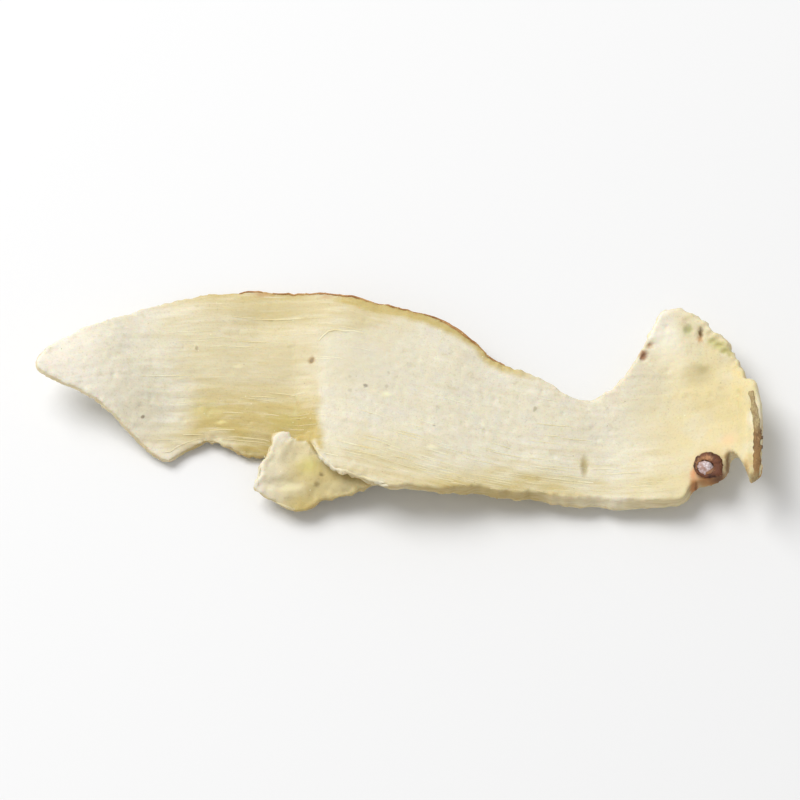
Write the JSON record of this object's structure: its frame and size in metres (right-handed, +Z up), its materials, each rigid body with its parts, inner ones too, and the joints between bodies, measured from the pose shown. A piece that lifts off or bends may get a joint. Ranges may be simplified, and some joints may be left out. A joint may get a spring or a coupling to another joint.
{
  "type": "solomons seal root slice",
  "caption": "Thin warped lengthwise slice of dried Solomon's seal root: blunt tip, narrow neck, broad head with curled rim and rootlet scar, torn tongue of flesh.",
  "frame": {"origin": "on the surface that the slice lies on, under the middle of its footprint's box", "axes": "+X along the slice from its blunt tip to its broad head, +Y to the edge that is far from the picture's viewer, +Z up"},
  "size_m": [0.0648, 0.022, 0.0066],
  "materials": {
    "dried_flesh": "dull, fibrous, slightly translucent ivory",
    "root_skin": "thin dry brown skin, matte"
  },
  "bodies": {
    "root": {"root_slice": "dried_flesh"}
  },
  "joints": []
}
